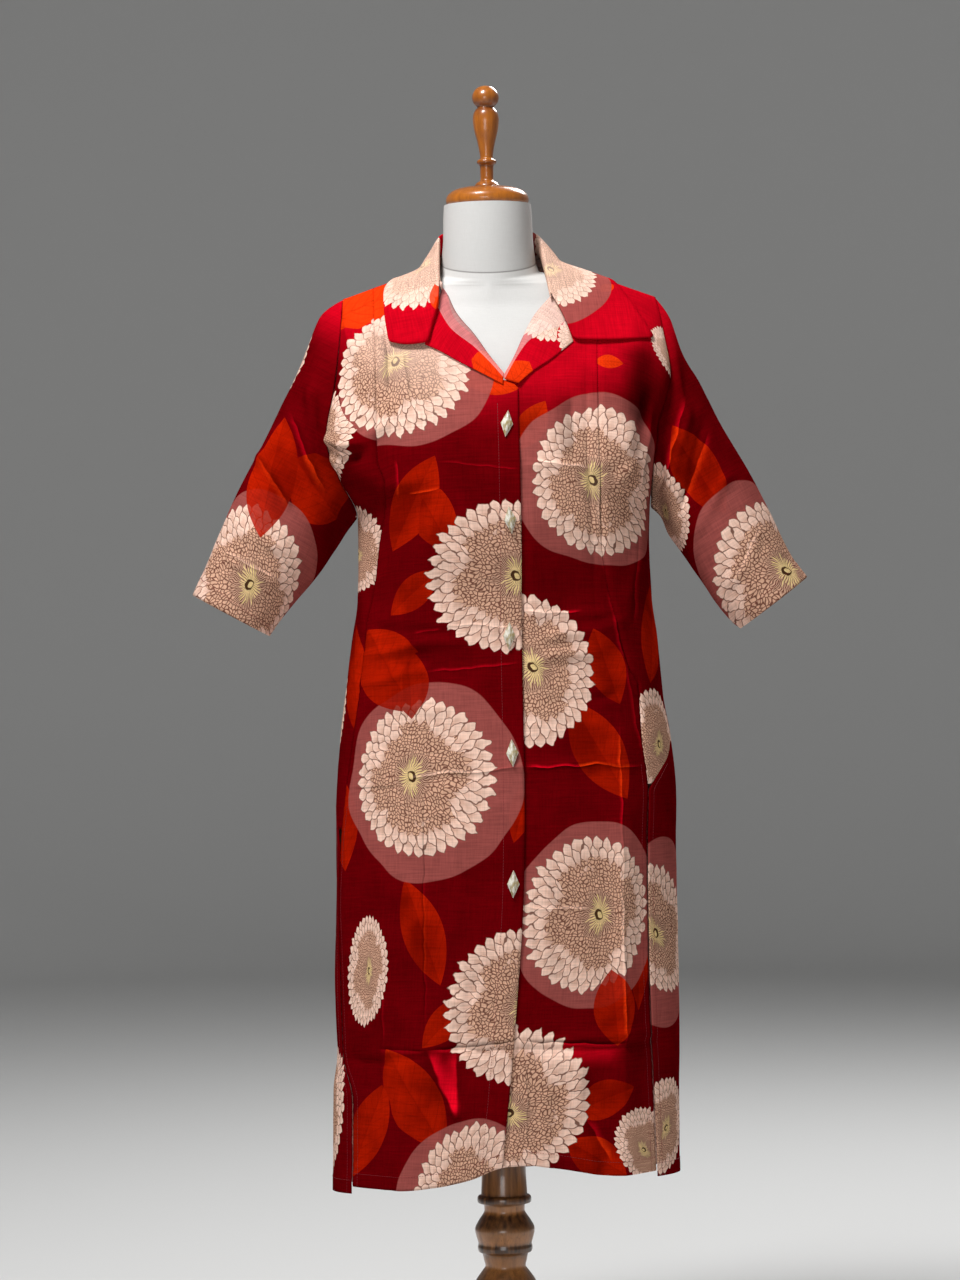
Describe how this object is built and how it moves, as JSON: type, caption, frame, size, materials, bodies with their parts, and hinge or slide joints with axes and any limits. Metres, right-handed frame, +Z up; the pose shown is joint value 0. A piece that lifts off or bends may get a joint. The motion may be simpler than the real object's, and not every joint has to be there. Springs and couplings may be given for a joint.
{
  "type": "kurta tunic on a dress form with a turned pole and round base",
  "caption": "Crimson printed cotton kurta tunic with a notched collar, diamond buttons and side slits, resting on a limbless canvas dress form with a wooden pole, base and finial.",
  "frame": {"origin": "middle of the underside of the stand's base, on the axis of the form and its pole", "axes": "+Z up; the garment's front faces -Y; the wearer's right is at -X"},
  "size_m": [0.7604, 0.33, 1.6336],
  "materials": {
    "cloth": "crimson slub cotton printed with pale flowers and orange leaves",
    "pearl": "ivory with a pearly shine, cut in facets",
    "canvas": "off-white canvas, smooth and taut",
    "wood": "orange-brown, varnished and glossy",
    "dark_wood": "dark brown, varnished"
  },
  "bodies": {
    "root": {"front_right": "cloth", "side_front_right": "cloth", "front_left": "cloth", "side_front_left": "cloth", "back": "cloth", "sleeve_right": "cloth", "sleeve_left": "cloth", "collar": "cloth", "lapel_right": "cloth", "lapel_left": "cloth", "button_1": "pearl", "button_2": "pearl", "button_3": "pearl", "button_4": "pearl", "button_5": "pearl", "form_torso": "canvas", "form_neck": "canvas", "neck_cap": "wood", "finial": "wood", "pole": "dark_wood", "stand_base": "dark_wood"}
  },
  "joints": []
}
